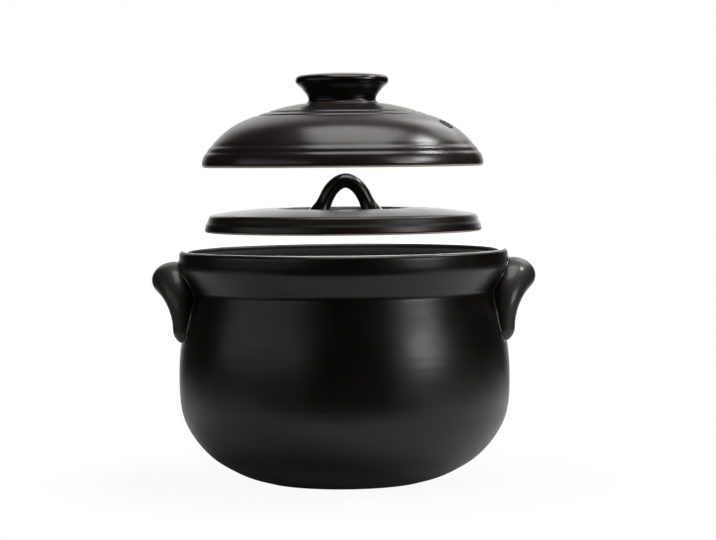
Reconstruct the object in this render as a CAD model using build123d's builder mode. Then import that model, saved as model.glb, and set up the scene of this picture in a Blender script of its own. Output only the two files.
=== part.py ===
from build123d import *

import math
import os

# Clay cooking pot with two lids, in millimetres.
# Z is up, the pot stands on z = 0 with its axis on Z, and the handles are on the left (-X)
# and right (+X). The lids hang above the pot, lifted off it. Each lid closes by going
# straight down on to its own seat inside the collar. Points in brackets are (radius, height).

# Pot body, outside
FOOT_RADIUS = 58.3
FOOT_WIDTH = 8.0
FOOT_RECESS = 3.5
FOOT_BEVEL = (2.0, 0.7)
FOOT_FLARE = (68.7, 2.9)
KINK = (77.1, 6.2)
LOW_BELLY = ((95.5, 17.2), (111.3, 35.5))
BELLY_RADIUS = 119.6
BELLY_HEIGHT = 76.0
HIGH_BELLY = (117.3, 104.0)
NECK_RADIUS = 110.0
NECK_HEIGHT = 137.5
NECK_BEND = 3.0
COLLAR_RADIUS = 118.7
COLLAR_LOW = 156.0
COLLAR_BEND = 3.0
RIM_HEIGHT = 167.0
RIM_ROUND = 3.2
MOUTH_RADIUS = 112.4

# Pot body, inside
WALL = 8.0
SHOULDER = (104.2, 118.0)
BOWL_SIDE = ((103.5, 40.0), (87.5, 21.5))
FLOOR_RADIUS = 57.0
FLOOR_TOP = 12.0

# Inner lid: flat plate with a dished centre, heights measured from its lower edge
PLATE_RADIUS = 100.0
PLATE_EDGE = 12.6
PLATE_RISE = 4.1
PLATE_STEP = ((-0.7, 5.9), (-1.5, 6.7), (-2.8, 10.0))
DISH_RADIUS = 50.0
DISH_DEPTH = 3.2
HOLLOW_RADIUS = 87.0
HOLLOW_DEPTH = 5.0

# Finger loop on the inner lid, measured from the floor of the dish. It was pressed on by eye,
# a little to the right of the axis.
LOOP_SHIFT = 1.9
LOOP_HEIGHT = 28.4
LOOP_COIL = 10.7
LOOP_DEPTH = 15.0
LOOP_SHOULDER = (8.6, 18.8)
LOOP_WAIST = (15.4, 7.5)
LOOP_FOOT = 20.0
LOOP_ROOT = 2.0
LOOP_SPREAD = (2.0, 2.2)
LOOP_SECTIONS = 16

# Outer lid: dome, turned rings and steam vent, heights measured from its lower edge
DOME_RADIUS = 101.8
DOME_WALL = 7.5
DOME_EDGE = 3.2
DOME_CURVE = ((59.6, 38.0), (82.7, 27.2), (96.1, 14.2))
DOME_INSET = ((0.35, 0.95), (0.6, 0.8), (0.85, 0.5))
RING_DEPTH = 0.9
RINGS = ((98.4, 11.1), (94.9, 15.7), (61.5, 37.4), (53.9, 39.9))
VENT_DIAMETER = 7.0
VENT_RADIUS = 78.6
VENT_ANGLE = -20.0

# Knob on the outer lid, heights measured from the lid's lower edge. It was luted on by eye,
# so it leans a degree to the left.
KNOB_SEAM = 45.9
KNOB_FOOT = 25.4
KNOB_WAIST = ((24.4, 2.4), (27.8, 8.2))
KNOB_FLARE = (32.4, 58.6)
KNOB_EDGE = (34.0, 61.6)
KNOB_SHOULDER = (31.0, 65.4)
KNOB_TOP = 67.7
KNOB_LEAN = 1.0
KNOB_SUNK = 1.0

# Seats inside the collar, and how high the lifted lids hang
LID_PLAY = 0.8
INNER_SEAT = 139.0
INNER_LEDGE = 6.0
LEDGE_DEPTH = 4.5
OUTER_SEAT = 153.5
INNER_LID_BASE = 180.2
OUTER_LID_BASE = 226.8

# Ear handles: arched coils, thick at the crown and thin at the leg ends
EAR_END = 102.4
EAR_BALL = 112.0
EAR_SPAN = 27.0
EAR_CROWN = 146.7
EAR_SPRING = EAR_CROWN - EAR_SPAN
EAR_ROOT = 106.0
EAR_BALL_RADIUS = 11.8
EAR_LEG_REACH = 122.2
EAR_CROWN_REACH = 138.9
EAR_LEG_HALF = 8.2
EAR_CROWN_HALF = 13.1
EAR_TIP = 1.0
EAR_LEG_SECTIONS = (EAR_END, 103.6, 105.5, 109.0, 112.5, 116.0)
EAR_TURNS = 10
EAR_LIFT = 0.7


# Outline of the outside of the pot, from the axis at the foot up to the mouth.
# The same outline trims the handles, so that they meet the pot face to face.
def draw_pot_outside():
    foot_inner = FOOT_RADIUS - FOOT_WIDTH
    foot = Polyline(
        (0, FOOT_RECESS),
        (foot_inner - FOOT_RECESS, FOOT_RECESS),
        (foot_inner, 0),
        (FOOT_RADIUS, 0),
        (FOOT_RADIUS + FOOT_BEVEL[0], FOOT_BEVEL[1]),
    )
    foot_side = ThreePointArc(foot @ 1, FOOT_FLARE, KINK)
    lower_belly = Spline(
        foot_side @ 1,
        *LOW_BELLY,
        (BELLY_RADIUS, BELLY_HEIGHT),
        tangents=((1.0, 0.52), (0.0, 1.0)),
    )
    upper_belly = Spline(
        lower_belly @ 1,
        HIGH_BELLY,
        (NECK_RADIUS, NECK_HEIGHT - NECK_BEND),
        tangents=((0.0, 1.0), (-0.25, 1.0)),
    )
    neck = ThreePointArc(
        upper_belly @ 1,
        (NECK_RADIUS - 0.2, NECK_HEIGHT),
        (NECK_RADIUS + 1.2, NECK_HEIGHT + NECK_BEND),
    )
    collar_slope = Line(neck @ 1, (COLLAR_RADIUS - 1.0, COLLAR_LOW - COLLAR_BEND))
    collar_edge = ThreePointArc(
        collar_slope @ 1,
        (COLLAR_RADIUS - 0.2, COLLAR_LOW),
        (COLLAR_RADIUS, COLLAR_LOW + COLLAR_BEND),
    )
    collar_side = Line(collar_edge @ 1, (COLLAR_RADIUS, RIM_HEIGHT - RIM_ROUND))
    rim = ThreePointArc(
        collar_side @ 1,
        ((COLLAR_RADIUS + MOUTH_RADIUS) / 2, RIM_HEIGHT),
        (MOUTH_RADIUS, RIM_HEIGHT - RIM_ROUND),
    )
    return rim @ 1


# Outline of the inside of the pot, from the mouth down over the two seats to the floor.
def draw_pot_inside(lip):
    outer_pocket = DOME_RADIUS + LID_PLAY
    inner_pocket = PLATE_RADIUS + LID_PLAY
    ledge_edge = inner_pocket - INNER_LEDGE
    flare = ThreePointArc(
        lip,
        (outer_pocket + 2.8, OUTER_SEAT + 5.5),
        (outer_pocket, OUTER_SEAT),
    )
    seats = Polyline(
        flare @ 1,
        (inner_pocket, OUTER_SEAT),
        (inner_pocket, INNER_SEAT),
        (ledge_edge, INNER_SEAT),
        (ledge_edge, INNER_SEAT - LEDGE_DEPTH),
    )
    shoulder = Spline(
        seats @ 1,
        SHOULDER,
        (BELLY_RADIUS - WALL, BELLY_HEIGHT),
        tangents=((0.75, -1.0), (0.0, -1.0)),
    )
    bowl = Spline(
        shoulder @ 1,
        *BOWL_SIDE,
        (FLOOR_RADIUS, FLOOR_TOP),
        tangents=((0.0, -1.0), (-1.0, 0.0)),
    )
    Polyline(bowl @ 1, (0, FLOOR_TOP), (0, FOOT_RECESS))


with BuildPart() as pot_body:
    with BuildSketch(Plane.XZ):
        with BuildLine():
            draw_pot_inside(draw_pot_outside())
        make_face()
    revolve(axis=Axis.Z)
pot_body.part.label = "pot_body"

# The pot's outer form as a full block, which the handles are cut to
with BuildPart() as pot_block:
    with BuildSketch(Plane.XZ):
        with BuildLine():
            block_lip = draw_pot_outside()
            Polyline(block_lip, (0, RIM_HEIGHT - RIM_ROUND), (0, FOOT_RECESS))
        make_face()
    revolve(axis=Axis.Z)


# How far the handle stands out from the pot's axis at a height: a ball end, then a leg that
# leans out more and more towards the crown.
def ear_reach(height):
    drop = max(EAR_BALL - height, 0.0)
    round_end = EAR_BALL_RADIUS - math.sqrt(EAR_BALL_RADIUS ** 2 - drop ** 2)
    climb = max(height - EAR_BALL, 0.0) / (EAR_CROWN - EAR_BALL)
    return EAR_LEG_REACH - round_end + (EAR_CROWN_REACH - EAR_LEG_REACH) * climb ** 2


# Half the width of the coil at a height, rounded off at the leg ends.
def ear_half(height):
    climb = max(height - EAR_BALL, 0.0) / (EAR_CROWN - EAR_BALL)
    drop = max(EAR_BALL - height, 0.0) / (EAR_BALL - EAR_END + EAR_TIP)
    half = EAR_LEG_HALF + (EAR_CROWN_HALF - EAR_LEG_HALF) * climb ** 2
    return half * math.sqrt(1.0 - drop ** 2)


# Stations along the centre line of the arch, up one leg, over the crown and down the other:
# each is a place across the handle, a height, and the direction in which the coil runs.
def ear_stations():
    near_leg = [(-EAR_SPAN, height, (0, 0, 1)) for height in EAR_LEG_SECTIONS]
    arch = []
    for step in range(EAR_TURNS + 1):
        turn = math.pi * (1.0 - step / EAR_TURNS)
        place = (EAR_SPAN * math.cos(turn), EAR_SPRING + EAR_SPAN * math.sin(turn))
        arch.append((*place, (0, math.sin(turn), -math.cos(turn))))
    far_leg = [(EAR_SPAN, height, (0, 0, -1)) for height in reversed(EAR_LEG_SECTIONS)]
    return near_leg + arch + far_leg


# One ear handle: an arched coil of oval sections set across its centre line, then cut to the
# pot's surface. Bent by hand, the two don't quite match: the crown is lifted or lowered a little.
def build_ear(name, side, lift):
    with BuildPart() as ear:
        for across, height, along in ear_stations():
            reach = ear_reach(height)
            raised = height + lift * max(height - EAR_BALL, 0.0) / (EAR_CROWN - EAR_BALL)
            centre = (side * (EAR_ROOT + reach) / 2, across, raised)
            with BuildSketch(Plane(origin=centre, x_dir=(1, 0, 0), z_dir=along)):
                Ellipse((reach - EAR_ROOT) / 2, ear_half(height))
        loft()
        add(pot_block.part, mode=Mode.SUBTRACT)
    ear.part.label = name
    return ear


handle_left = build_ear("handle_left", -1, -EAR_LIFT)
handle_right = build_ear("handle_right", 1, EAR_LIFT)

# Inner lid plate: a rim to stand on, a hollow underneath, a step round its side, and a top
# that rises gently to the edge of the dish
dish_rim = INNER_LID_BASE + PLATE_EDGE + PLATE_RISE
dish_floor = dish_rim - DISH_DEPTH
hollow_top = INNER_LID_BASE + HOLLOW_DEPTH
with BuildPart() as inner_lid_plate:
    with BuildSketch(Plane.XZ):
        with BuildLine():
            underside = Polyline(
                (0, hollow_top),
                (HOLLOW_RADIUS, hollow_top),
                (HOLLOW_RADIUS + 2.0, INNER_LID_BASE),
                (PLATE_RADIUS - 1.6, INNER_LID_BASE),
            )
            lower_edge = ThreePointArc(
                underside @ 1,
                (PLATE_RADIUS - 0.4, INNER_LID_BASE + 0.6),
                (PLATE_RADIUS, INNER_LID_BASE + 2.2),
            )
            step_side = Polyline(
                lower_edge @ 1,
                *((PLATE_RADIUS + out, INNER_LID_BASE + up) for out, up in PLATE_STEP),
            )
            upper_edge = ThreePointArc(
                step_side @ 1,
                (PLATE_RADIUS - 3.8, INNER_LID_BASE + PLATE_EDGE - 0.8),
                (PLATE_RADIUS - 6.0, INNER_LID_BASE + PLATE_EDGE + 0.2),
            )
            top = Spline(
                upper_edge @ 1,
                (DISH_RADIUS, dish_rim),
                tangents=((-1.0, 0.16), (-1.0, 0.0)),
            )
            dish_wall = ThreePointArc(
                top @ 1,
                (DISH_RADIUS - 2.2, dish_rim - 0.8),
                (DISH_RADIUS - 3.4, dish_floor),
            )
            Polyline(dish_wall @ 1, (0, dish_floor), (0, hollow_top))
        make_face()
    revolve(axis=Axis.Z)
inner_lid_plate.part.label = "inner_lid_plate"

# Finger loop: a coil bent into an arch, its feet spread where they are pressed on to the plate
loop_crown = dish_floor + LOOP_HEIGHT - LOOP_COIL / 2
with BuildLine(Plane.XZ) as loop_arch:
    Spline(
        (LOOP_SHIFT - LOOP_FOOT, dish_floor - LOOP_ROOT),
        (LOOP_SHIFT - LOOP_WAIST[0], dish_floor + LOOP_WAIST[1]),
        (LOOP_SHIFT - LOOP_SHOULDER[0], dish_floor + LOOP_SHOULDER[1]),
        (LOOP_SHIFT, loop_crown),
        (LOOP_SHIFT + LOOP_SHOULDER[0], dish_floor + LOOP_SHOULDER[1]),
        (LOOP_SHIFT + LOOP_WAIST[0], dish_floor + LOOP_WAIST[1]),
        (LOOP_SHIFT + LOOP_FOOT, dish_floor - LOOP_ROOT),
        tangents=((0.6, 1.0), (0.6, -1.0)),
    )
loop_path = loop_arch.line
with BuildPart() as inner_lid_loop:
    for step in range(LOOP_SECTIONS + 1):
        place = loop_path @ (step / LOOP_SECTIONS)
        along = loop_path % (step / LOOP_SECTIONS)
        spread = min(max(1.0 - (place.Z - dish_floor) / LOOP_WAIST[1], 0.0), 1.3)
        with BuildSketch(Plane(origin=place, x_dir=(0, 1, 0), z_dir=along)):
            Ellipse(
                LOOP_DEPTH / 2 + LOOP_SPREAD[0] * spread,
                LOOP_COIL / 2 + LOOP_SPREAD[1] * spread,
            )
    loft()
    add(inner_lid_plate.part, mode=Mode.SUBTRACT)
inner_lid_loop.part.label = "inner_lid_loop"


# Outline of the dome, from where the knob stands out to the rounded lower edge. The inside
# follows the same curve, set in by the wall.
def draw_dome(start, inset=0.0):
    stations = [
        (radius - inset * inward, OUTER_LID_BASE + height - inset * downward)
        for (radius, height), (inward, downward) in zip(DOME_CURVE, DOME_INSET)
    ]
    curve = Spline(
        start,
        *stations,
        (DOME_RADIUS - inset, OUTER_LID_BASE + DOME_EDGE),
        tangents=((1.0, -0.08), (0.16, -1.0)),
    )
    return curve @ 1


# Outer lid dome: a thrown shell that stands on its rim, flat where the knob is luted on
seam_height = OUTER_LID_BASE + KNOB_SEAM
with BuildPart() as outer_lid_dome:
    with BuildSketch(Plane.XZ):
        with BuildLine():
            seat = Line((0, seam_height), (KNOB_FOOT, seam_height))
            outer_edge = draw_dome(seat @ 1)
            lower_round = ThreePointArc(
                outer_edge,
                (DOME_RADIUS - 0.7, OUTER_LID_BASE + 0.8),
                (DOME_RADIUS - 2.6, OUTER_LID_BASE),
            )
            under_crown = Line(
                (0, seam_height - DOME_WALL),
                (KNOB_FOOT, seam_height - DOME_WALL),
            )
            inner_edge = draw_dome(under_crown @ 1, DOME_WALL)
            Polyline(
                lower_round @ 1,
                (DOME_RADIUS - DOME_WALL - 0.4, OUTER_LID_BASE),
                inner_edge,
            )
            Line(seat @ 0, under_crown @ 0)
        make_face()
    revolve(axis=Axis.Z)
    with BuildSketch(Plane.XZ):
        for ring_radius, ring_height in RINGS:
            with Locations((ring_radius, OUTER_LID_BASE + ring_height)):
                Circle(RING_DEPTH)
    revolve(axis=Axis.Z, mode=Mode.SUBTRACT)
    vent_x = VENT_RADIUS * math.cos(math.radians(VENT_ANGLE))
    vent_y = VENT_RADIUS * math.sin(math.radians(VENT_ANGLE))
    with BuildSketch(Plane.XY.offset(OUTER_LID_BASE + DOME_EDGE)):
        with Locations((vent_x, vent_y)):
            Circle(VENT_DIAMETER / 2)
    extrude(amount=KNOB_SEAM, mode=Mode.SUBTRACT)
outer_lid_dome.part.label = "outer_lid_dome"

# Knob: a flared, slightly crowned disc on a waisted neck. It is drawn upright on a leaning
# plane and cut level where it meets the dome.
lean = math.radians(KNOB_LEAN)
seam_centre = (0, 0, seam_height)
knob_plane = Plane(origin=seam_centre, x_dir=(math.cos(lean), 0, math.sin(lean)), z_dir=(0, -1, 0))
knob_axis = Axis(seam_centre, (-math.sin(lean), 0, math.cos(lean)))
with BuildPart() as outer_lid_knob:
    with BuildSketch(knob_plane):
        with BuildLine():
            foot = Line((0, -KNOB_SUNK), (KNOB_FOOT, -KNOB_SUNK))
            neck_foot = Line(foot @ 1, (KNOB_FOOT, 0))
            flare = Spline(
                neck_foot @ 1,
                *KNOB_WAIST,
                (KNOB_FLARE[0], KNOB_FLARE[1] - KNOB_SEAM),
                tangents=((-0.9, 1.0), (1.0, 0.75)),
            )
            edge = ThreePointArc(
                flare @ 1,
                (KNOB_EDGE[0], KNOB_EDGE[1] - KNOB_SEAM),
                (KNOB_SHOULDER[0], KNOB_SHOULDER[1] - KNOB_SEAM),
            )
            crown = TangentArc((0, KNOB_TOP - KNOB_SEAM), edge @ 1, tangent=(1, 0))
            Line(crown @ 0, foot @ 0)
        make_face()
    revolve(axis=knob_axis)
    split(bisect_by=Plane.XY.offset(seam_height), keep=Keep.TOP)
outer_lid_knob.part.label = "outer_lid_knob"

pieces = (
    pot_body,
    handle_left,
    handle_right,
    inner_lid_plate,
    inner_lid_loop,
    outer_lid_dome,
    outer_lid_knob,
)

os.makedirs("parts", exist_ok=True)
for piece in pieces:
    export_step(piece.part, "parts/" + piece.part.label + ".step")
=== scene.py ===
import math

import bmesh
import bpy
import numpy as np
from mathutils import Matrix, Vector
from mathutils.bvhtree import BVHTree


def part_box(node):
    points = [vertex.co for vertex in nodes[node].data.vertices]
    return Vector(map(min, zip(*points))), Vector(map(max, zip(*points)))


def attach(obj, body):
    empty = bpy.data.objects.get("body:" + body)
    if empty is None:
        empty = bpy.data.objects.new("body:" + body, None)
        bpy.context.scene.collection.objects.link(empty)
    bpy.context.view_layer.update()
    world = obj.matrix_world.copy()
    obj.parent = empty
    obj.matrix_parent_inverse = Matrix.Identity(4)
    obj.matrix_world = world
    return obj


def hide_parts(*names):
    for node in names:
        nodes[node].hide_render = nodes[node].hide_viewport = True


# Looks of a glazed clay pot with two lids, in metres. The pot stands on z = 0 with its axis on Z.
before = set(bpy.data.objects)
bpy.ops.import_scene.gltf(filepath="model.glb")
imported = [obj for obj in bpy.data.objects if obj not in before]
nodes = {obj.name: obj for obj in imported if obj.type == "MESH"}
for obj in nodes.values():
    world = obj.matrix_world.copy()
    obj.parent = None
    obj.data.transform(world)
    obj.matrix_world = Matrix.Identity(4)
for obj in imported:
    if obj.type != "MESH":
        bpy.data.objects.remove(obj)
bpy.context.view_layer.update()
plate_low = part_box("inner_lid_plate")[0]
dome_low, dome_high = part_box("outer_lid_dome")
MM = 0.001

# Turned pieces: how finely their outlines are followed, how far the glaze softens a corner, and
# how many times that far the averaging that does it reaches
TURNS = 288
WELD = 0.001 * MM
SAME_POINT = 10 * WELD
CORNER_ANGLE = math.radians(28)
FINE_STEP = 0.15 * MM
LONGEST_STEP = 1.5 * MM
BEND_STEP = math.radians(5)
SOFTENING_REACH = 4
POT_SOFTENING = 0.35 * MM
PLATE_SOFTENING = 0.5 * MM
DOME_SOFTENING = 0.7 * MM
KNOB_SOFTENING = 0.8 * MM

# The dome's two lower rings: how far they are softened, and the heights over the dome's lower edge
# at which that starts, is full, begins to fade and ends
LOW_DOME_SOFTENING = 1.3 * MM
LOW_DOME_BAND = (4.0 * MM, 7.0 * MM, 26.0 * MM, 30.0 * MM)

# Throwing rings left by the potter's fingers: distance between them, and their depth
POT_RINGS = (7.5 * MM, 0.045 * MM)
LID_RINGS = (5.5 * MM, 0.02 * MM)
INSIDE_RINGS = (11.0 * MM, 0.12 * MM)
KNOB_RINGS = (6.0 * MM, 0.015 * MM)

# Where the rings come in and where they fade out: by height on the pot, by radius on the lids and
# the knob, and by how far the pot's surface faces outward or inward
POT_RINGS_START = (12 * MM, 25 * MM)
POT_RINGS_END = (125 * MM, 133 * MM)
INSIDE_RINGS_END = (120 * MM, 130 * MM)
FACING_OUT = (0.3, 0.6)
FACING_IN = (0.2, 0.5)
DOME_RINGS_START = (30 * MM, 40 * MM)
DOME_RINGS_END = (88 * MM, 94 * MM)
PLATE_RINGS_START = (20 * MM, 25 * MM)
PLATE_RINGS_END = (90 * MM, 94 * MM)
KNOB_RINGS_START = (15 * MM, 20 * MM)

# How uneven the rings are: how far they drift to and fro and how much their depth varies, each
# with the rings that go by in one radian of that wave, and how far the depth's wave shifts round
# the pot. The starts are angles in radians.
DRIFT = 0.9
DRIFT_RINGS = 1.7
DRIFT_START = 1.3
DEPTH_CHANGE = 0.4
DEPTH_RINGS = 0.83
DEPTH_ROUND = 0.4
DEPTH_START = 0.7

# Luted seams: a thin roll of slip in the corner where one piece is joined to another, with its
# radius beside the ears and on the lids
EAR_SEAM = 1.9 * MM
LID_SEAM = 0.8 * MM
SEAM_STEP = 0.7 * MM
SEAM_BLUR = 1.6 * MM
LEAST_WEIGHT = 1e-6
SEAM_SIDES = 12
SEAM_FLATNESS = 0.85

# How a seam's thickness changes along it: share of the thickness, waves in its length, and start
SEAM_WAVES = ((0.16, 7, 1), (0.1, 17, 0))

# Two pieces touch where they are nearer than this and their faces look at each other, so that the
# cosine of the angle between the faces' directions is under the second value
CONTACT_GAP = 0.12 * MM
AGAINST = -0.5

# Steam vent in the domed lid, the lip of glaze round it, how far over the dome the search for the
# surface under that lip starts, and the angle from which edges of the drilled lid stay sharp
VENT_RADIUS = 3.5 * MM
VENT_DISTANCE = 78.6 * MM
VENT_ANGLE = math.radians(-20)
VENT_SIDES = 64
VENT_LIP = 1.2 * MM
VENT_LIP_OUT = 0.45 * MM
OVER_DOME = 1 * MM
SHARP_ANGLE = math.radians(35)

# Bare clay: how high it reaches on a lid's standing edge and on the foot ring, the recess inside
# that ring, the pot's two seats, and how wide the brown line is where the glaze ends
BARE_EDGE = 0.9 * MM
BREAK_WIDTH = 1.0 * MM
FOOT_BARE = 0.9 * MM
FOOT_RECESS = 3.6 * MM
FOOT_INNER_RADIUS = 53.0 * MM
SEAT_RADIUS = 105.0 * MM
SEAT_BAND = (137.0 * MM, 155.0 * MM)
SEAT_LEVEL = (0.75, 0.9)

# The dry flare inside the pot's mouth: the radius within which and the height above which it lies
FLARE_RADIUS = 112.5 * MM
FLARE_LOW = 153.0 * MM

# The pot beside the ears, for the painted shade in the corners there: radius and height of its
# neck, how fast it widens from there, and the distances from it between which the painted shade
# fades
NECK_RADIUS = 110.0 * MM
NECK_HEIGHT = 137.5 * MM
NECK_SLOPE = 0.27
PAINTED_SHADE_DEPTHS = (1.5 * MM, 8.0 * MM)

# How softly one finish gives way to the next, how far the line between them wavers, and the
# middle of that wavering on a lid's standing edge
RIM_FADE = 0.25 * MM
NARROW_FADE = 0.5 * MM
WIDE_FADE = 1 * MM
RIM_WAVER = 0.6 * MM
FOOT_WAVER = 0.8 * MM
RIM_WAVER_MIDDLE = 0.3 * MM

# Detail in a metre of glaze: clouds of colour, iron specks, patches of gloss, coarse and fine
# ripples, the grit of bare clay, and the wavering line where the glaze was wiped off
CLOUD_SCALE = 22.0
SPECK_SCALE = 300.0
PATCH_SCALE = 45.0
COARSE_SCALE = 150.0
FINE_SCALE = 700.0
GRIT_SCALE = 1500.0
WIPED_SCALE = 45.0

# How much of each shows, in colour, in roughness and in the depth of the ripples
CLOUD_RANGE = (0.35, 0.75)
SPECK_SIZE = (0.08, 0.2)
SPECK_RARITY = (0.93, 0.95)
SPECK_SHARE = 0.2
BREAK_SHARE = 0.8
PATCH_RANGE = (0.25, 0.75)
GLOSS_LESS = 0.02
GLOSS_MORE = 0.03
CLAY_ROUGHNESS = 0.85
DRY_ROUGHNESS = 0.9
RIPPLE_DEPTH = 0.05 * MM
FINE_SHARE = 0.02
GRIT_SHARE = 1.5

# The clear coat on the ears, and the colours of specks, of the glaze's brown edge, of the painted
# shade in the ears' corners and of bare clay
EAR_COAT = 0.35
EAR_COAT_ROUGHNESS = 0.12
SPECK_COLOUR = (0.03, 0.016, 0.010, 1)
BREAK_COLOUR = (0.045, 0.012, 0.004, 1)
PAINTED_SHADE_COLOUR = (0.0010, 0.0006, 0.0005, 1)
DARK_CLAY = (0.74, 0.60, 0.43, 1)
PALE_CLAY = (0.90, 0.79, 0.62, 1)


# A node's mesh, with its doubled points joined
def welded(node):
    solid = bmesh.new()
    solid.from_mesh(nodes[node].data)
    bmesh.ops.remove_doubles(solid, verts=solid.verts, dist=WELD)
    return solid


# Which points some edges join to which, and where these points are
def chain(edges):
    links = {}
    places = {}
    for edge in edges:
        first, second = edge.verts
        links.setdefault(first.index, []).append(second.index)
        links.setdefault(second.index, []).append(first.index)
        for vert in edge.verts:
            places[vert.index] = vert.co.copy()
    return links, places


# Outline of a turned node, where the half plane x > 0, y = 0 cuts its mesh: rows of radius and
# height, from the lower point on the axis, round the outside of the section, to the upper one.
def cut_outline(node):
    solid = welded(node)
    cut = bmesh.ops.bisect_plane(
        solid,
        geom=solid.verts[:] + solid.edges[:] + solid.faces[:],
        dist=WELD,
        plane_co=(0, 0, 0),
        plane_no=(0, 1, 0),
    )
    solid.verts.index_update()
    edges = [part for part in cut["geom_cut"] if isinstance(part, bmesh.types.BMEdge)]
    links, places = chain(
        edge for edge in edges if min(vert.co.x for vert in edge.verts) >= -WELD
    )
    solid.free()
    ends = [index for index, others in links.items() if len(others) == 1]
    here = min(ends, key=lambda index: places[index].z)
    walked = [here]
    seen = {here}
    while True:
        onward = [index for index in links[here] if index not in seen]
        if not onward:
            break
        here = onward[0]
        seen.add(here)
        walked.append(here)
    return np.array([(places[index].x, places[index].z) for index in walked])


# The same outline as a smooth curve: cubic pieces between its points, straight into each corner,
# with every corner then softened by the thickness of the glaze.
def smooth_outline(points, softening):
    keep = np.r_[True, np.hypot(*np.diff(points, axis=0).T) > SAME_POINT]
    points = points[keep]
    chords = np.diff(points, axis=0)
    lengths = np.hypot(*chords.T)
    directions = chords / lengths[:, None]
    turning = np.arccos(np.clip((directions[1:] * directions[:-1]).sum(axis=1), -1, 1))
    through = chords[1:] + chords[:-1]
    through /= np.hypot(*through.T)[:, None]
    leaving = directions.copy()
    arriving = directions.copy()
    gentle = turning < CORNER_ANGLE
    leaving[1:][gentle] = through[gentle]
    arriving[:-1][gentle] = through[gentle]
    pieces = []
    for start, end, length, out, into in zip(points[:-1], points[1:], lengths, leaving, arriving):
        count = max(1, math.ceil(length / FINE_STEP))
        t = (np.arange(count) / count)[:, None]
        pieces.append(
            start * (2 * t**3 - 3 * t**2 + 1)
            + end * (3 * t**2 - 2 * t**3)
            + out * length * (t**3 - 2 * t**2 + t)
            + into * length * (t**3 - t**2)
        )
    curve = np.vstack(pieces + [points[-1:]])
    along = np.r_[0, np.cumsum(np.hypot(*np.diff(curve, axis=0).T))]
    even = np.linspace(0, along[-1], math.ceil(along[-1] / FINE_STEP))
    curve = np.column_stack([np.interp(even, along, curve[:, axis]) for axis in (0, 1)])
    return soften(curve, softening)


# A curve with even points, its corners rounded by averaging each point with those near it
def soften(curve, softening):
    reach = math.ceil(SOFTENING_REACH * softening / FINE_STEP)
    weights = np.exp(-0.5 * (np.arange(-reach, reach + 1) * FINE_STEP / softening) ** 2)
    weights /= weights.sum()
    softened = curve.copy()
    for axis in (0, 1):
        softened[reach:-reach, axis] = np.convolve(curve[:, axis], weights, "valid")
    return softened


# The dome's two lower rings were wiped more than its upper ones, so they are softer
def wipe_low_rings(curve):
    softer = soften(curve, LOW_DOME_SOFTENING)
    start, full, fading, end = (dome_low.z + height for height in LOW_DOME_BAND)
    share = ramp(curve[:, 1:], start, full) * (1 - ramp(curve[:, 1:], fading, end))
    return curve + share * (softer - curve)


# Fewer points: one wherever the curve has turned or run on far enough since the last
def thin_outline(curve):
    chords = np.diff(curve, axis=0)
    headings = np.unwrap(np.arctan2(chords[:, 1], chords[:, 0]))
    lengths = np.hypot(*chords.T)
    kept = [0]
    run = 0.0
    heading = headings[0]
    for index in range(1, len(curve) - 1):
        run += lengths[index - 1]
        if run > LONGEST_STEP or abs(headings[index] - heading) > BEND_STEP:
            kept.append(index)
            run = 0.0
            heading = headings[index]
    kept.append(len(curve) - 1)
    return curve[kept]


def add_object(name, data):
    made = bpy.data.objects.new(name, data)
    bpy.context.scene.collection.objects.link(made)
    return made


# The pieces on each body, as they are made
riders = {}


def new_piece(name, vertices, faces, body, slot, material):
    mesh = bpy.data.meshes.new(name)
    mesh.from_pydata(vertices, [], faces)
    mesh.shade_smooth()
    mesh.materials.append(material)
    piece = add_object(name, mesh)
    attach(piece, body)
    riders.setdefault(body, []).append(piece)
    return piece


# Turns an outline about Z. Relief is how far each point of the surface is pressed in, from its
# distance along the outline, radius, height, outward facing and angle. Nothing leaves the box.
def lathe(outline, relief, low, high):
    chords = np.gradient(outline, axis=0)
    chords /= np.hypot(*chords.T)[:, None]
    outward = np.column_stack([chords[:, 1], -chords[:, 0]])
    along = np.r_[0, np.cumsum(np.hypot(*np.diff(outline, axis=0).T))]
    angles = 2 * math.pi * np.arange(TURNS) / TURNS
    inner = slice(1, -1)
    radius, height = outline[inner, :1], outline[inner, 1:]
    depth = relief(along[inner, None], radius, height, outward[inner, :1], angles[None, :])
    radii = np.minimum(radius - outward[inner, :1] * depth, min(high.x, high.y))
    heights = np.clip(height - outward[inner, 1:] * depth, low.z, high.z)
    rings = np.stack([radii * np.cos(angles), radii * np.sin(angles), heights], axis=2)
    count = len(rings)
    poles = [(0, 0, outline[0, 1]), (0, 0, outline[-1, 1])]
    vertices = [tuple(point) for point in rings.reshape(-1, 3)] + poles
    bottom, top = count * TURNS, count * TURNS + 1
    last = (count - 1) * TURNS
    faces = []
    for turn in range(TURNS):
        beside = (turn + 1) % TURNS
        faces.append((bottom, beside, turn))
        faces.append((top, last + turn, last + beside))
        for ring in range(count - 1):
            here = ring * TURNS
            there = here + TURNS
            faces.append((here + turn, here + beside, there + beside, there + turn))
    return vertices, faces


# Between 0 and 1, smoothly, as a value goes from one limit to the other
def ramp(value, start, end):
    share = np.clip((value - start) / (end - start), 0, 1)
    return share * share * (3 - 2 * share)


# A helical groove of uneven depth, as a hand leaves while the clay turns under it
def throwing(along, angle, rings):
    pitch, depth = rings
    phase = 2 * math.pi * along / pitch - angle
    drift = DRIFT * np.sin(along / (DRIFT_RINGS * pitch) + DRIFT_START)
    round_it = DEPTH_ROUND * np.sin(angle + DEPTH_START)
    change = DEPTH_CHANGE * np.sin(along / (DEPTH_RINGS * pitch) + round_it)
    return depth * (1 - DEPTH_CHANGE + change) * (0.5 + 0.5 * np.sin(phase + drift))


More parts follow.
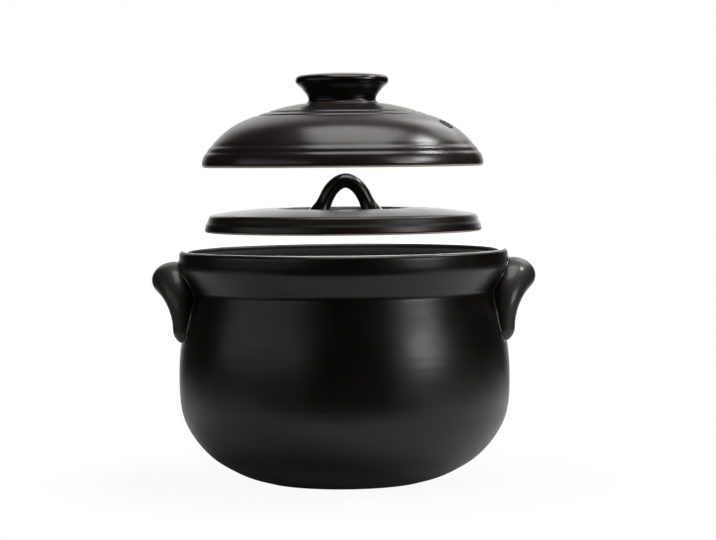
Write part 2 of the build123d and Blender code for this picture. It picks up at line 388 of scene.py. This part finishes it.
# The reliefs that lathe asks for, on the pot, on a lid and on the knob. Each is given all the
# values, whether it needs them or not.
def pot_relief(along, radius, height, facing, angle):
    outside = ramp(facing, *FACING_OUT) * ramp(height, *POT_RINGS_START)
    outside = outside * (1 - ramp(height, *POT_RINGS_END))
    inside = ramp(-facing, *FACING_IN) * (1 - ramp(height, *INSIDE_RINGS_END))
    belly = outside * throwing(along, angle, POT_RINGS)
    bowl = inside * throwing(along, angle, INSIDE_RINGS)
    return belly + bowl


def lid_relief(start, end):
    def relief(along, radius, height, facing, angle):
        shown = ramp(radius, *start) * (1 - ramp(radius, *end))
        return shown * throwing(along, angle, LID_RINGS)
    return relief


def knob_relief(along, radius, height, facing, angle):
    pitch, depth = KNOB_RINGS
    shown = ramp(radius, *KNOB_RINGS_START)
    return depth * shown * np.sin(2 * math.pi * along / pitch - angle)


# Material nodes
def add_node(tree, kind, inputs=None, **settings):
    made = tree.nodes.new(kind)
    for key, value in settings.items():
        setattr(made, key, value)
    for key, value in (inputs or {}).items():
        socket = made.inputs[key]
        if isinstance(value, bpy.types.NodeSocket):
            tree.links.new(value, socket)
        else:
            socket.default_value = value
    return made


def maths(tree, operation, first, second=0.0):
    return add_node(tree, "ShaderNodeMath", {0: first, 1: second}, operation=operation).outputs[0]


def noise(tree, place, scale, detail=3.0, roughness=0.5):
    inputs = {"Vector": place, "Scale": scale, "Detail": detail, "Roughness": roughness}
    return add_node(tree, "ShaderNodeTexNoise", inputs).outputs["Fac"]


def spread(tree, value, low, high, start=0.0, end=1.0):
    inputs = {"Value": value, "From Min": low, "From Max": high, "To Min": start, "To Max": end}
    made = add_node(tree, "ShaderNodeMapRange", inputs, interpolation_type="SMOOTHSTEP")
    return made.outputs["Result"]


# 1 above a limit and 0 below it, or the other way round, with the change just above the limit
def over(tree, value, limit, fade):
    return spread(tree, value, limit, limit + fade)


def under(tree, value, limit, fade):
    return spread(tree, value, limit, limit + fade, 1.0, 0.0)


def blend_colours(tree, share, first, second):
    inputs = {0: share, 6: first, 7: second}
    return add_node(tree, "ShaderNodeMix", inputs, data_type="RGBA").outputs[2]


# Where bare clay shows on each turned piece, and where the glaze breaks to brown beside it, each
# as a value from 0 to 1. The boundary wavers, because the glaze is wiped off by hand.
def bare_rim(base):
    def masks(tree, place, radius, height):
        wavy = maths(tree, "MULTIPLY", noise(tree, place, WIPED_SCALE), RIM_WAVER)
        limit = base + BARE_EDGE + RIM_WAVER_MIDDLE
        edge = maths(tree, "SUBTRACT", maths(tree, "ADD", height, wavy), limit)
        return under(tree, edge, 0.0, RIM_FADE), under(tree, edge, 0.0, BREAK_WIDTH)
    return masks


def bare_foot_and_seats(tree, place, radius, height):
    wavy = maths(tree, "MULTIPLY", noise(tree, place, WIPED_SCALE), FOOT_WAVER)
    raised = maths(tree, "ADD", height, wavy)
    ring = under(tree, raised, FOOT_BARE, NARROW_FADE)
    low = under(tree, height, FOOT_RECESS, NARROW_FADE)
    within = under(tree, radius, FOOT_INNER_RADIUS, WIDE_FADE)
    foot = maths(tree, "MAXIMUM", ring, maths(tree, "MULTIPLY", low, within))
    normal = add_node(tree, "ShaderNodeNewGeometry").outputs["Normal"]
    facing = add_node(tree, "ShaderNodeSeparateXYZ", {0: normal})
    level = spread(tree, facing.outputs["Z"], *SEAT_LEVEL)
    above = over(tree, height, SEAT_BAND[0], NARROW_FADE)
    below = under(tree, height, SEAT_BAND[1], NARROW_FADE)
    between = maths(tree, "MULTIPLY", above, below)
    seat_place = under(tree, radius, SEAT_RADIUS, NARROW_FADE)
    seats = maths(tree, "MULTIPLY", maths(tree, "MULTIPLY", level, between), seat_place)
    broken = under(tree, raised, FOOT_BARE, 2 * BREAK_WIDTH)
    return maths(tree, "MAXIMUM", foot, seats), broken


# The flare inside the mouth, where the glaze is rubbed dry and dull by the lid
def dry_mouth(tree, radius, height):
    inward = under(tree, radius, FLARE_RADIUS, WIDE_FADE)
    above = over(tree, height, FLARE_LOW, NARROW_FADE)
    return maths(tree, "MULTIPLY", inward, above)


# The corner between an ear and the pot, painted dark as shade. The pot's radius there is taken as
# growing evenly up and down from the neck.
def painted_corner_shade(tree, radius, height):
    from_neck = maths(tree, "ABSOLUTE", maths(tree, "SUBTRACT", height, NECK_HEIGHT))
    pot_radius = maths(tree, "ADD", maths(tree, "MULTIPLY", from_neck, NECK_SLOPE), NECK_RADIUS)
    return spread(tree, maths(tree, "SUBTRACT", radius, pot_radius), *PAINTED_SHADE_DEPTHS, 1.0, 0.0)


# Dark satin glaze: near-black with a reddish brown cast where it lies thin, fine iron specks, and
# the slight ripple and uneven gloss of a fired surface. Gloss is its roughness and ripple how
# strongly it ripples. Bare says where bare clay shows, dry where the glaze is dull, and the last
# mask where a corner is painted dark as shade, which only the ears have, under their clear coat.
def glaze(name, deep, thin, gloss, ripple, bare=None, dry=None, painted_shade=None):
    material = bpy.data.materials.new(name)
    material.use_nodes = True
    tree = material.node_tree
    shader = tree.nodes["Principled BSDF"]
    place = add_node(tree, "ShaderNodeTexCoord").outputs["Object"]
    split = add_node(tree, "ShaderNodeSeparateXYZ", {0: place})
    across = maths(tree, "MULTIPLY", split.outputs["X"], split.outputs["X"])
    deep_in = maths(tree, "MULTIPLY", split.outputs["Y"], split.outputs["Y"])
    radius = maths(tree, "SQRT", maths(tree, "ADD", across, deep_in))
    height = split.outputs["Z"]

    clouds = noise(tree, place, CLOUD_SCALE, detail=5.0, roughness=0.6)
    colour = blend_colours(tree, spread(tree, clouds, *CLOUD_RANGE), deep, thin)
    cells = add_node(tree, "ShaderNodeTexVoronoi", {"Vector": place, "Scale": SPECK_SCALE})
    dot = spread(tree, cells.outputs["Distance"], *SPECK_SIZE, 1.0, 0.0)
    chosen = add_node(tree, "ShaderNodeSeparateColor", {0: cells.outputs["Color"]})
    specks = maths(tree, "MULTIPLY", dot, spread(tree, chosen.outputs[0], *SPECK_RARITY))
    speck_share = maths(tree, "MULTIPLY", specks, SPECK_SHARE)
    colour = blend_colours(tree, speck_share, colour, SPECK_COLOUR)

    patches = noise(tree, place, PATCH_SCALE, detail=2.0)
    roughness = spread(tree, patches, *PATCH_RANGE, gloss - GLOSS_LESS, gloss + GLOSS_MORE)
    coarse = noise(tree, place, COARSE_SCALE, detail=2.0)
    fine = noise(tree, place, FINE_SCALE, detail=2.0)
    relief = maths(tree, "ADD", coarse, maths(tree, "MULTIPLY", fine, FINE_SHARE))
    if bare:
        mask, broken = bare(tree, place, radius, height)
        grit = noise(tree, place, GRIT_SCALE, detail=5.0, roughness=0.7)
        clay = blend_colours(tree, grit, DARK_CLAY, PALE_CLAY)
        brown = maths(tree, "MULTIPLY", broken, BREAK_SHARE)
        colour = blend_colours(tree, brown, colour, BREAK_COLOUR)
        colour = blend_colours(tree, mask, colour, clay)
        gap = maths(tree, "SUBTRACT", CLAY_ROUGHNESS, roughness)
        roughness = maths(tree, "ADD", roughness, maths(tree, "MULTIPLY", gap, mask))
        bare_grit = maths(tree, "MULTIPLY", grit, mask)
        relief = maths(tree, "ADD", relief, maths(tree, "MULTIPLY", bare_grit, GRIT_SHARE))
    if dry:
        dull = maths(tree, "MULTIPLY", dry(tree, radius, height), DRY_ROUGHNESS)
        roughness = maths(tree, "MAXIMUM", roughness, dull)
    # Painted shade: the ears' corners against the pot are darkened in their colour
    if painted_shade:
        colour = blend_colours(tree, painted_shade(tree, radius, height), colour, PAINTED_SHADE_COLOUR)
        shader.inputs["Coat Weight"].default_value = EAR_COAT
        shader.inputs["Coat Roughness"].default_value = EAR_COAT_ROUGHNESS
    tree.links.new(colour, shader.inputs["Base Color"])
    tree.links.new(roughness, shader.inputs["Roughness"])
    inputs = {"Height": relief, "Strength": ripple, "Distance": RIPPLE_DEPTH}
    bump = add_node(tree, "ShaderNodeBump", inputs)
    tree.links.new(bump.outputs["Normal"], shader.inputs["Normal"])
    return material


# Each glaze: its colour where it lies thick and where it lies thin, and then its finish
pot_glaze = glaze(
    "pot_glaze", (0.0013, 0.0007, 0.0005, 1), (0.0025, 0.0015, 0.0012, 1),
    gloss=0.33, ripple=0.5, bare=bare_foot_and_seats, dry=dry_mouth,
)
# The ears' glaze carries painted shade in the corners where they meet the pot
ear_glaze = glaze(
    "ear_glaze", (0.0110, 0.0088, 0.0078, 1), (0.0160, 0.0130, 0.0115, 1),
    gloss=0.50, ripple=0.5, painted_shade=painted_corner_shade,
)
# The ear seams' glaze is painted far lighter than the pot's, a painted highlight along the seam
# line over the real roll of slip
seam_highlight_glaze = glaze(
    "seam_highlight_glaze", (0.0240, 0.0205, 0.0185, 1), (0.0330, 0.0290, 0.0265, 1),
    gloss=0.20, ripple=0.4,
)
plate_glaze = glaze(
    "plate_glaze", (0.0045, 0.0030, 0.0025, 1), (0.0075, 0.0054, 0.0046, 1),
    gloss=0.36, ripple=0.5, bare=bare_rim(plate_low.z),
)
loop_glaze = glaze(
    "loop_glaze", (0.0040, 0.0026, 0.0021, 1), (0.0070, 0.0048, 0.0040, 1),
    gloss=0.24, ripple=0.4,
)
dome_glaze = glaze(
    "dome_glaze", (0.0135, 0.0094, 0.0080, 1), (0.0195, 0.0145, 0.0126, 1),
    gloss=0.25, ripple=0.5, bare=bare_rim(dome_low.z),
)
knob_glaze = glaze(
    "knob_glaze", (0.0030, 0.0014, 0.0010, 1), (0.0048, 0.0026, 0.0020, 1),
    gloss=0.24, ripple=0.4,
)

# Turned pieces
plate_relief = lid_relief(PLATE_RINGS_START, PLATE_RINGS_END)
dome_relief = lid_relief(DOME_RINGS_START, DOME_RINGS_END)
turned = {}
for piece_name, node, body, slot, material, relief, softening in (
    (
        "pot_shell", "pot_body", "pot", "dark_glaze",
        pot_glaze, pot_relief, POT_SOFTENING,
    ),
    (
        "inner_lid_disc", "inner_lid_plate", "inner_lid", "lid_glaze",
        plate_glaze, plate_relief, PLATE_SOFTENING,
    ),
    (
        "outer_lid_shell", "outer_lid_dome", "outer_lid", "lid_glaze",
        dome_glaze, dome_relief, DOME_SOFTENING,
    ),
    (
        "outer_lid_grip", "outer_lid_knob", "outer_lid", "lid_glaze",
        knob_glaze, knob_relief, KNOB_SOFTENING,
    ),
):
    outline = smooth_outline(cut_outline(node), softening)
    if node == "outer_lid_dome":
        outline = wipe_low_rings(outline)
    outline = thin_outline(outline)
    shape = lathe(outline, relief, *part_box(node))
    turned[node] = new_piece(piece_name, *shape, body, slot, material)
    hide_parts(node)


# Drills the steam vent straight down through the domed lid
def drill_vent(piece, centre):
    drill = bmesh.new()
    bmesh.ops.create_cone(
        drill,
        cap_ends=True,
        segments=VENT_SIDES,
        radius1=VENT_RADIUS,
        radius2=VENT_RADIUS,
        depth=dome_high.z - dome_low.z,
        matrix=Matrix.Translation(centre),
    )
    drill_mesh = bpy.data.meshes.new("vent_drill")
    drill.to_mesh(drill_mesh)
    drill.free()
    tool = add_object("vent_drill", drill_mesh)
    cut = piece.modifiers.new("vent", "BOOLEAN")
    cut.operation = "DIFFERENCE"
    cut.solver = "EXACT"
    cut.object = tool
    evaluated = piece.evaluated_get(bpy.context.evaluated_depsgraph_get())
    piece.data = bpy.data.meshes.new_from_object(evaluated)
    piece.modifiers.clear()
    piece.data.set_sharp_from_angle(angle=SHARP_ANGLE)
    bpy.data.objects.remove(tool)


vent_centre = Vector((
    VENT_DISTANCE * math.cos(VENT_ANGLE),
    VENT_DISTANCE * math.sin(VENT_ANGLE),
    (dome_low.z + dome_high.z) / 2,
))
drill_vent(turned["outer_lid_dome"], vent_centre)

# Formed pieces that keep their CAD shape
for node, material in (
    ("handle_left", ear_glaze),
    ("handle_right", ear_glaze),
    ("inner_lid_loop", loop_glaze),
):
    for part in nodes[node].material_slots:
        part.material = material


def surface_of(mesh):
    shape = bmesh.new()
    shape.from_mesh(mesh)
    tree = BVHTree.FromBMesh(shape)
    shape.free()
    return tree


# The closed lines on a node where it stops touching its neighbour
def join_lines(node, neighbour):
    surface = surface_of(nodes[neighbour].data)
    solid = welded(node)
    touching = set()
    for face in solid.faces:
        place, normal, index, distance = surface.find_nearest(face.calc_center_median())
        if distance < CONTACT_GAP and normal.dot(face.normal) < AGAINST:
            touching.add(face)
    links, places = chain(
        edge for edge in solid.edges
        if sum(face in touching for face in edge.link_faces) == 1
    )
    loops = []
    left = set(links)
    while left:
        here = min(left)
        loop = []
        while here is not None:
            loop.append(places[here])
            left.discard(here)
            here = next((index for index in links[here] if index in left), None)
        loops.append(np.array(loop))
    solid.free()
    return loops, surface


# The line on the dome just outside the vent's mouth
def vent_line():
    surface = surface_of(turned["outer_lid_dome"].data)
    loop = []
    for step in range(VENT_SIDES):
        turn = 2 * math.pi * step / VENT_SIDES
        across = Vector((math.cos(turn), math.sin(turn), 0)) * (VENT_RADIUS + VENT_LIP_OUT)
        above = vent_centre + across
        above.z = dome_high.z + OVER_DOME
        place, normal, index, distance = surface.ray_cast(above, Vector((0, 0, -1)))
        loop.append(place)
    return [np.array(loop)], surface


# A closed line with even points, its small jags smoothed away
def smooth_loop(loop):
    closed = np.vstack([loop, loop[:1]])
    along = np.r_[0, np.cumsum(np.linalg.norm(np.diff(closed, axis=0), axis=1))]
    count = math.ceil(along[-1] / SEAM_STEP)
    even = along[-1] * np.arange(count) / count
    points = np.column_stack([np.interp(even, along, closed[:, axis]) for axis in range(3)])
    offsets = np.arange(count) - count // 2
    weights = np.exp(-0.5 * (offsets * SEAM_STEP / SEAM_BLUR) ** 2)
    weights /= weights.sum()
    blurred = np.zeros_like(points)
    for offset, weight in zip(offsets, weights):
        if weight > LEAST_WEIGHT:
            blurred += weight * np.roll(points, offset, axis=0)
    return blurred


# A roll of slip along each closed line, flattened on to the surface that it lies on
def seam(name, lines, size, body, slot, material):
    vertices = []
    faces = []
    loops, surface = lines
    for loop in loops:
        points = smooth_loop(loop)
        count = len(points)
        first = len(vertices)
        tangents = np.roll(points, -1, axis=0) - np.roll(points, 1, axis=0)
        for index, (point, tangent) in enumerate(zip(points, tangents)):
            centre = Vector(point)
            place, normal, nearest, distance = surface.find_nearest(centre)
            side = Vector(tangent).normalized().cross(normal).normalized()
            turn = 2 * math.pi * index / count
            waves = (share * math.sin(number * turn + start) for share, number, start in SEAM_WAVES)
            uneven = sum(waves, 1)
            for step in range(SEAM_SIDES):
                angle = 2 * math.pi * step / SEAM_SIDES
                offset = side * math.cos(angle) + normal * SEAM_FLATNESS * math.sin(angle)
                vertices.append(centre + offset * size * uneven)
        for index in range(count):
            here = first + index * SEAM_SIDES
            there = first + (index + 1) % count * SEAM_SIDES
            for step in range(SEAM_SIDES):
                beside = (step + 1) % SEAM_SIDES
                faces.append((here + step, here + beside, there + beside, there + step))
    return new_piece(name, vertices, faces, body, slot, material)


for name, node, neighbour, size, body, slot, material in (
    (
        "handle_left_seam", "handle_left", "pot_body", EAR_SEAM,
        "pot", "dark_glaze", seam_highlight_glaze,
    ),
    (
        "handle_right_seam", "handle_right", "pot_body", EAR_SEAM,
        "pot", "dark_glaze", seam_highlight_glaze,
    ),
    (
        "loop_seam", "inner_lid_loop", "inner_lid_plate", LID_SEAM,
        "inner_lid", "lid_glaze", loop_glaze,
    ),
    (
        "knob_seam", "outer_lid_knob", "outer_lid_dome", LID_SEAM,
        "outer_lid", "lid_glaze", dome_glaze,
    ),
):
    seam(name, join_lines(node, neighbour), size, body, slot, material)
seam("vent_lip", vent_line(), VENT_LIP, "outer_lid", "lid_glaze", dome_glaze)

# Floor: a small pale sheet under the pot, which the glaze reflects as it is lit. The camera sees
# it white like the backdrop, with a share of its own shading near the pot, as a faint shadow.
FLOOR_FRONT = 0.26
FLOOR_SIDE = 0.55
FLOOR_BACK = 0.60
SHADOW_RADII = (0.14, 0.25)
SHADOW_SHARE = 0.06
PAPER = (0.6, 0.6, 0.6, 1)
WHITE = (1, 1, 1, 1)
floor_mesh = bpy.data.meshes.new("floor")
corners = [
    (-FLOOR_SIDE, -FLOOR_FRONT, 0),
    (FLOOR_SIDE, -FLOOR_FRONT, 0),
    (FLOOR_SIDE, FLOOR_BACK, 0),
    (-FLOOR_SIDE, FLOOR_BACK, 0),
]
floor_mesh.from_pydata(corners, [], [(0, 1, 2, 3)])
floor = add_object("floor", floor_mesh)
card = bpy.data.materials.new("white_card")
card.use_nodes = True
tree = card.node_tree
tree.nodes.clear()
place = add_node(tree, "ShaderNodeTexCoord").outputs["Object"]
measured = add_node(tree, "ShaderNodeVectorMath", {0: place}, operation="LENGTH")
paper = add_node(tree, "ShaderNodeBsdfDiffuse", {"Color": PAPER}).outputs[0]
bright = add_node(tree, "ShaderNodeEmission", {"Color": WHITE, "Strength": 1.0}).outputs[0]
fade = spread(tree, measured.outputs["Value"], *SHADOW_RADII, SHADOW_SHARE, 0.0)
rays = add_node(tree, "ShaderNodeLightPath")
shown = add_node(tree, "ShaderNodeMixShader", {0: fade, 1: bright, 2: paper}).outputs[0]
inputs = {0: rays.outputs["Is Camera Ray"], 1: paper, 2: shown}
surface = add_node(tree, "ShaderNodeMixShader", inputs).outputs[0]
add_node(tree, "ShaderNodeOutputMaterial", {"Surface": surface})
floor_mesh.materials.append(card)

# World: pure white for the camera, and a white backdrop behind the pot in its reflections. The
# rest of the room is dark in reflections and gives a dim even light. The backdrop's edges are
# given as parts of a direction of length 1, to the side and away from the camera.
BACKDROP_HALF_WIDTH = (0.28, 0.48)
BACKDROP_DEPTH = (0.55, 0.85)
ROOM_LIGHT = (0.15, 0.15, 0.15, 1)
ROOM_REFLECTED = (0.009, 0.009, 0.009, 1)
world = bpy.data.worlds.new("studio")
bpy.context.scene.world = world
world.use_nodes = True
tree = world.node_tree
tree.nodes.clear()
rays = add_node(tree, "ShaderNodeLightPath")
direction = add_node(tree, "ShaderNodeTexCoord").outputs["Generated"]
toward = add_node(tree, "ShaderNodeSeparateXYZ", {0: direction})
sideways = maths(tree, "ABSOLUTE", toward.outputs["X"])
middle = spread(tree, sideways, *BACKDROP_HALF_WIDTH, 1.0, 0.0)
behind = maths(tree, "MULTIPLY", middle, spread(tree, toward.outputs["Y"], *BACKDROP_DEPTH))
seen = maths(tree, "MAXIMUM", rays.outputs["Is Glossy Ray"], rays.outputs["Is Transmission Ray"])
reflected = maths(tree, "MULTIPLY", seen, behind)
white = maths(tree, "MAXIMUM", rays.outputs["Is Camera Ray"], reflected)
room = blend_colours(tree, seen, ROOM_LIGHT, ROOM_REFLECTED)
colour = blend_colours(tree, white, room, WHITE)
background = add_node(tree, "ShaderNodeBackground", {"Color": colour, "Strength": 1.0})
add_node(tree, "ShaderNodeOutputWorld", {"Surface": background.outputs[0]})


LAMP_AIM = Vector((0, 0, 0.15))


# A soft light, turned to a point on the pot's axis. Its place is the azimuth from the camera's
# side, to the right, and the elevation, both in degrees, and the distance. Its size is width and
# height. Blockers are what stops its light, and receivers are what it lights.
def softbox(name, place, size, radiance, blockers, receivers=None):
    azimuth, elevation, distance = place
    width, height = size
    lamp = bpy.data.lights.new(name, "AREA")
    lamp.shape = "RECTANGLE"
    lamp.size = width
    lamp.size_y = height
    lamp.energy = radiance * math.pi * width * height
    light = add_object(name, lamp)
    turn, climb = math.radians(azimuth), math.radians(elevation)
    level = math.cos(climb)
    away = Vector((math.sin(turn) * level, -math.cos(turn) * level, math.sin(climb)))
    light.location = LAMP_AIM + away * distance
    light.rotation_mode = "QUATERNION"
    light.rotation_quaternion = away.to_track_quat("Z", "Y")
    light.light_linking.blocker_collection = blockers
    light.light_linking.receiver_collection = receivers


def group_of(name, members):
    group = bpy.data.collections.new(name)
    for member in members:
        group.objects.link(member)
    return group


# A group that stands for everything but its members
def all_but(name, members):
    group = group_of(name, members)
    for member in group.collection_objects:
        member.light_linking.link_state = "EXCLUDE"
    return group


inner_lid = riders["inner_lid"] + [nodes["inner_lid_loop"]]
outer_lid = riders["outer_lid"]
past_lid = all_but("past_lid", outer_lid)
past_lids = all_but("past_lids", inner_lid + outer_lid)
past_knob = all_but("past_knob", [turned["outer_lid_knob"]])

# In the photograph each piece is lit as if no lid hung over it, so the outer lid stops none of
# these lamps. The strip leaves out the knob, whose flat top would mirror it and burn out when it
# is seen from behind.
softbox("left_panel", (-59, 14.5, 2.0), (2.6, 1.0), 0.62, past_lid)
softbox("right_strip", (57, 11.5, 2.2), (0.85, 0.74), 6.0, past_lid, past_knob)
softbox("overhead", (90, 85, 2.2), (1.5, 1.6), 4.0, past_lid)
softbox("side_key", (113, 50, 2.2), (0.42, 0.34), 24.0, past_lid)
softbox("right_behind", (152, 33, 2.2), (0.9, 0.8), 1.6, past_lid)

# Lamps for some pieces only, because each was lit alone: the white backdrop as the inner lid
# reflects it, a dim lamp beside both lids, the streak on the dome, and light from behind the
# mouth of the pot, which neither lid stops. The last lamp lights only the floor beside the pot.
inner_back_lit = group_of("inner_back_lit", inner_lid)
lids_right_lit = group_of("lids_right_lit", inner_lid + outer_lid)
dome_streak_lit = group_of("dome_streak_lit", outer_lid)
pot_lit = group_of("pot_lit", riders["pot"])
floor_lit = group_of("floor_lit", [floor])
softbox("inner_back", (174, 14, 2.2), (2.2, 1.1), 1.6, past_lid, inner_back_lit)
softbox("lids_right", (62, 29, 2.2), (1.5, 0.55), 2.3, past_lid, lids_right_lit)
softbox("dome_streak", (71, 25, 2.2), (0.5, 0.45), 12.0, past_lid, dome_streak_lit)
softbox("mouth_back", (180, 24, 2.2), (0.5, 1.5), 8.0, past_lids, pot_lit)
softbox("floor_fill", (100, 25, 0.9), (0.5, 0.5), 6.0, None, floor_lit)

# Camera: almost level, a long lens, rolled half a degree as the photograph is
IMAGE_WIDTH = 716
SENSOR_WIDTH = 36.0
FOCAL_PIXELS = 2500
CAMERA_PLACE = (10.4 * MM, -1.809, 0.2388)
PITCH_DOWN = 2.75
ROLL = -0.5
camera = bpy.data.cameras.new("camera")
camera.sensor_width = SENSOR_WIDTH
camera.lens = FOCAL_PIXELS * SENSOR_WIDTH / IMAGE_WIDTH
viewer = add_object("camera", camera)
viewer.matrix_world = (
    Matrix.Translation(CAMERA_PLACE)
    @ Matrix.Rotation(math.radians(90 - PITCH_DOWN), 4, "X")
    @ Matrix.Rotation(math.radians(ROLL), 4, "Z")
)
bpy.context.scene.camera = viewer
bpy.context.scene.view_settings.view_transform = "Standard"
